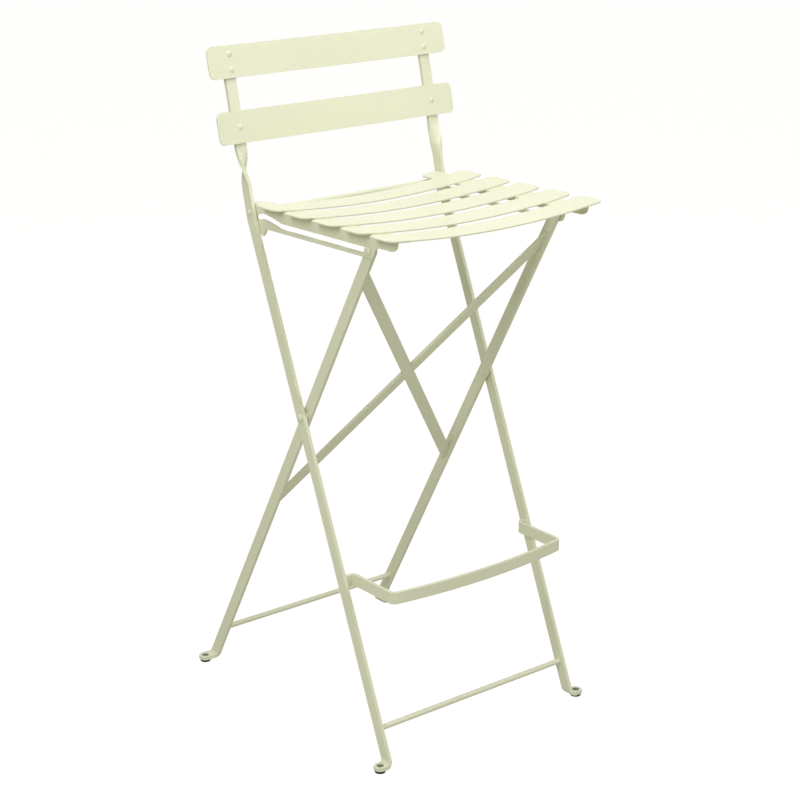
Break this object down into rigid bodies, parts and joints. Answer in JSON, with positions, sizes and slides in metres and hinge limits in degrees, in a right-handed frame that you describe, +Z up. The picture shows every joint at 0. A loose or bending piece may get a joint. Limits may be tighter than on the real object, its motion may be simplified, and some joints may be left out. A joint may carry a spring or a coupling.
{
  "type": "folding bar stool",
  "caption": "Tall folding bar stool in powder-coated steel bar, with a slatted seat, slatted backrest, footrest and crossed legs that close flat.",
  "frame": {"origin": "on the floor, under the middle of the open stool's box", "axes": "+Z up, the sitter faces -Y, +X to the right of someone who looks at the front"},
  "size_m": [0.4146, 0.4772, 0.9547],
  "materials": {
    "powder_coat": "fine satin powder coat",
    "glide_plastic": "matte black"
  },
  "bodies": {
    "long_frame": {"left_upright": "powder_coat", "right_upright": "powder_coat", "top_back_slat": "powder_coat", "lower_back_slat": "powder_coat", "left_top_slat_upper_rivet": "powder_coat", "right_top_slat_upper_rivet": "powder_coat", "left_top_slat_lower_rivet": "powder_coat", "right_top_slat_lower_rivet": "powder_coat", "left_lower_slat_rivet": "powder_coat", "right_lower_slat_rivet": "powder_coat", "footrest": "powder_coat", "front_stretcher": "powder_coat", "seat_pivot_rod": "powder_coat", "left_main_pivot_rivet": "powder_coat", "right_main_pivot_rivet": "powder_coat", "left_main_pivot_spacer": "powder_coat", "right_main_pivot_spacer": "powder_coat", "left_front_glide": "glide_plastic", "right_front_glide": "glide_plastic"},
    "rear_legs": {"left_rear_leg": "powder_coat", "right_rear_leg": "powder_coat", "long_brace": "powder_coat", "upper_short_brace": "powder_coat", "lower_short_brace": "powder_coat", "rear_stretcher": "powder_coat", "left_top_rivet": "powder_coat", "right_top_rivet": "powder_coat", "left_rear_glide": "glide_plastic", "right_rear_glide": "glide_plastic"},
    "seat": {"left_side_rail": "powder_coat", "right_side_rail": "powder_coat", "seat_slat_1": "powder_coat", "seat_slat_2": "powder_coat", "seat_slat_3": "powder_coat", "seat_slat_4": "powder_coat", "seat_slat_5": "powder_coat"},
    "slot_pins": {"left_slot_pin": "powder_coat", "right_slot_pin": "powder_coat"}
  },
  "joints": [
    {"name": "rear_leg_fold", "type": "hinge", "parent": "long_frame", "child": "rear_legs", "pos_m": [0, -0.02405, 0.4613], "axis": [-1, 0, 0], "range_deg": [0, 47.3]},
    {"name": "seat_lift", "type": "hinge", "parent": "long_frame", "child": "seat", "pos_m": [0, 0.08632, 0.7306], "axis": [-1, 0, 0], "range_deg": [0, 59.5]},
    {"name": "slot_pin_slide", "type": "slide", "parent": "seat", "child": "slot_pins", "axis": [0, 0.9998, -0.0192], "range_m": [0, 0.1843]}
  ],
  "couplings": [
    {"joint": "seat_lift", "follows": "rear_leg_fold", "ratio": 1.258},
    {"joint": "slot_pin_slide", "follows": "rear_leg_fold", "m_per_rad": 0.2232}
  ]
}
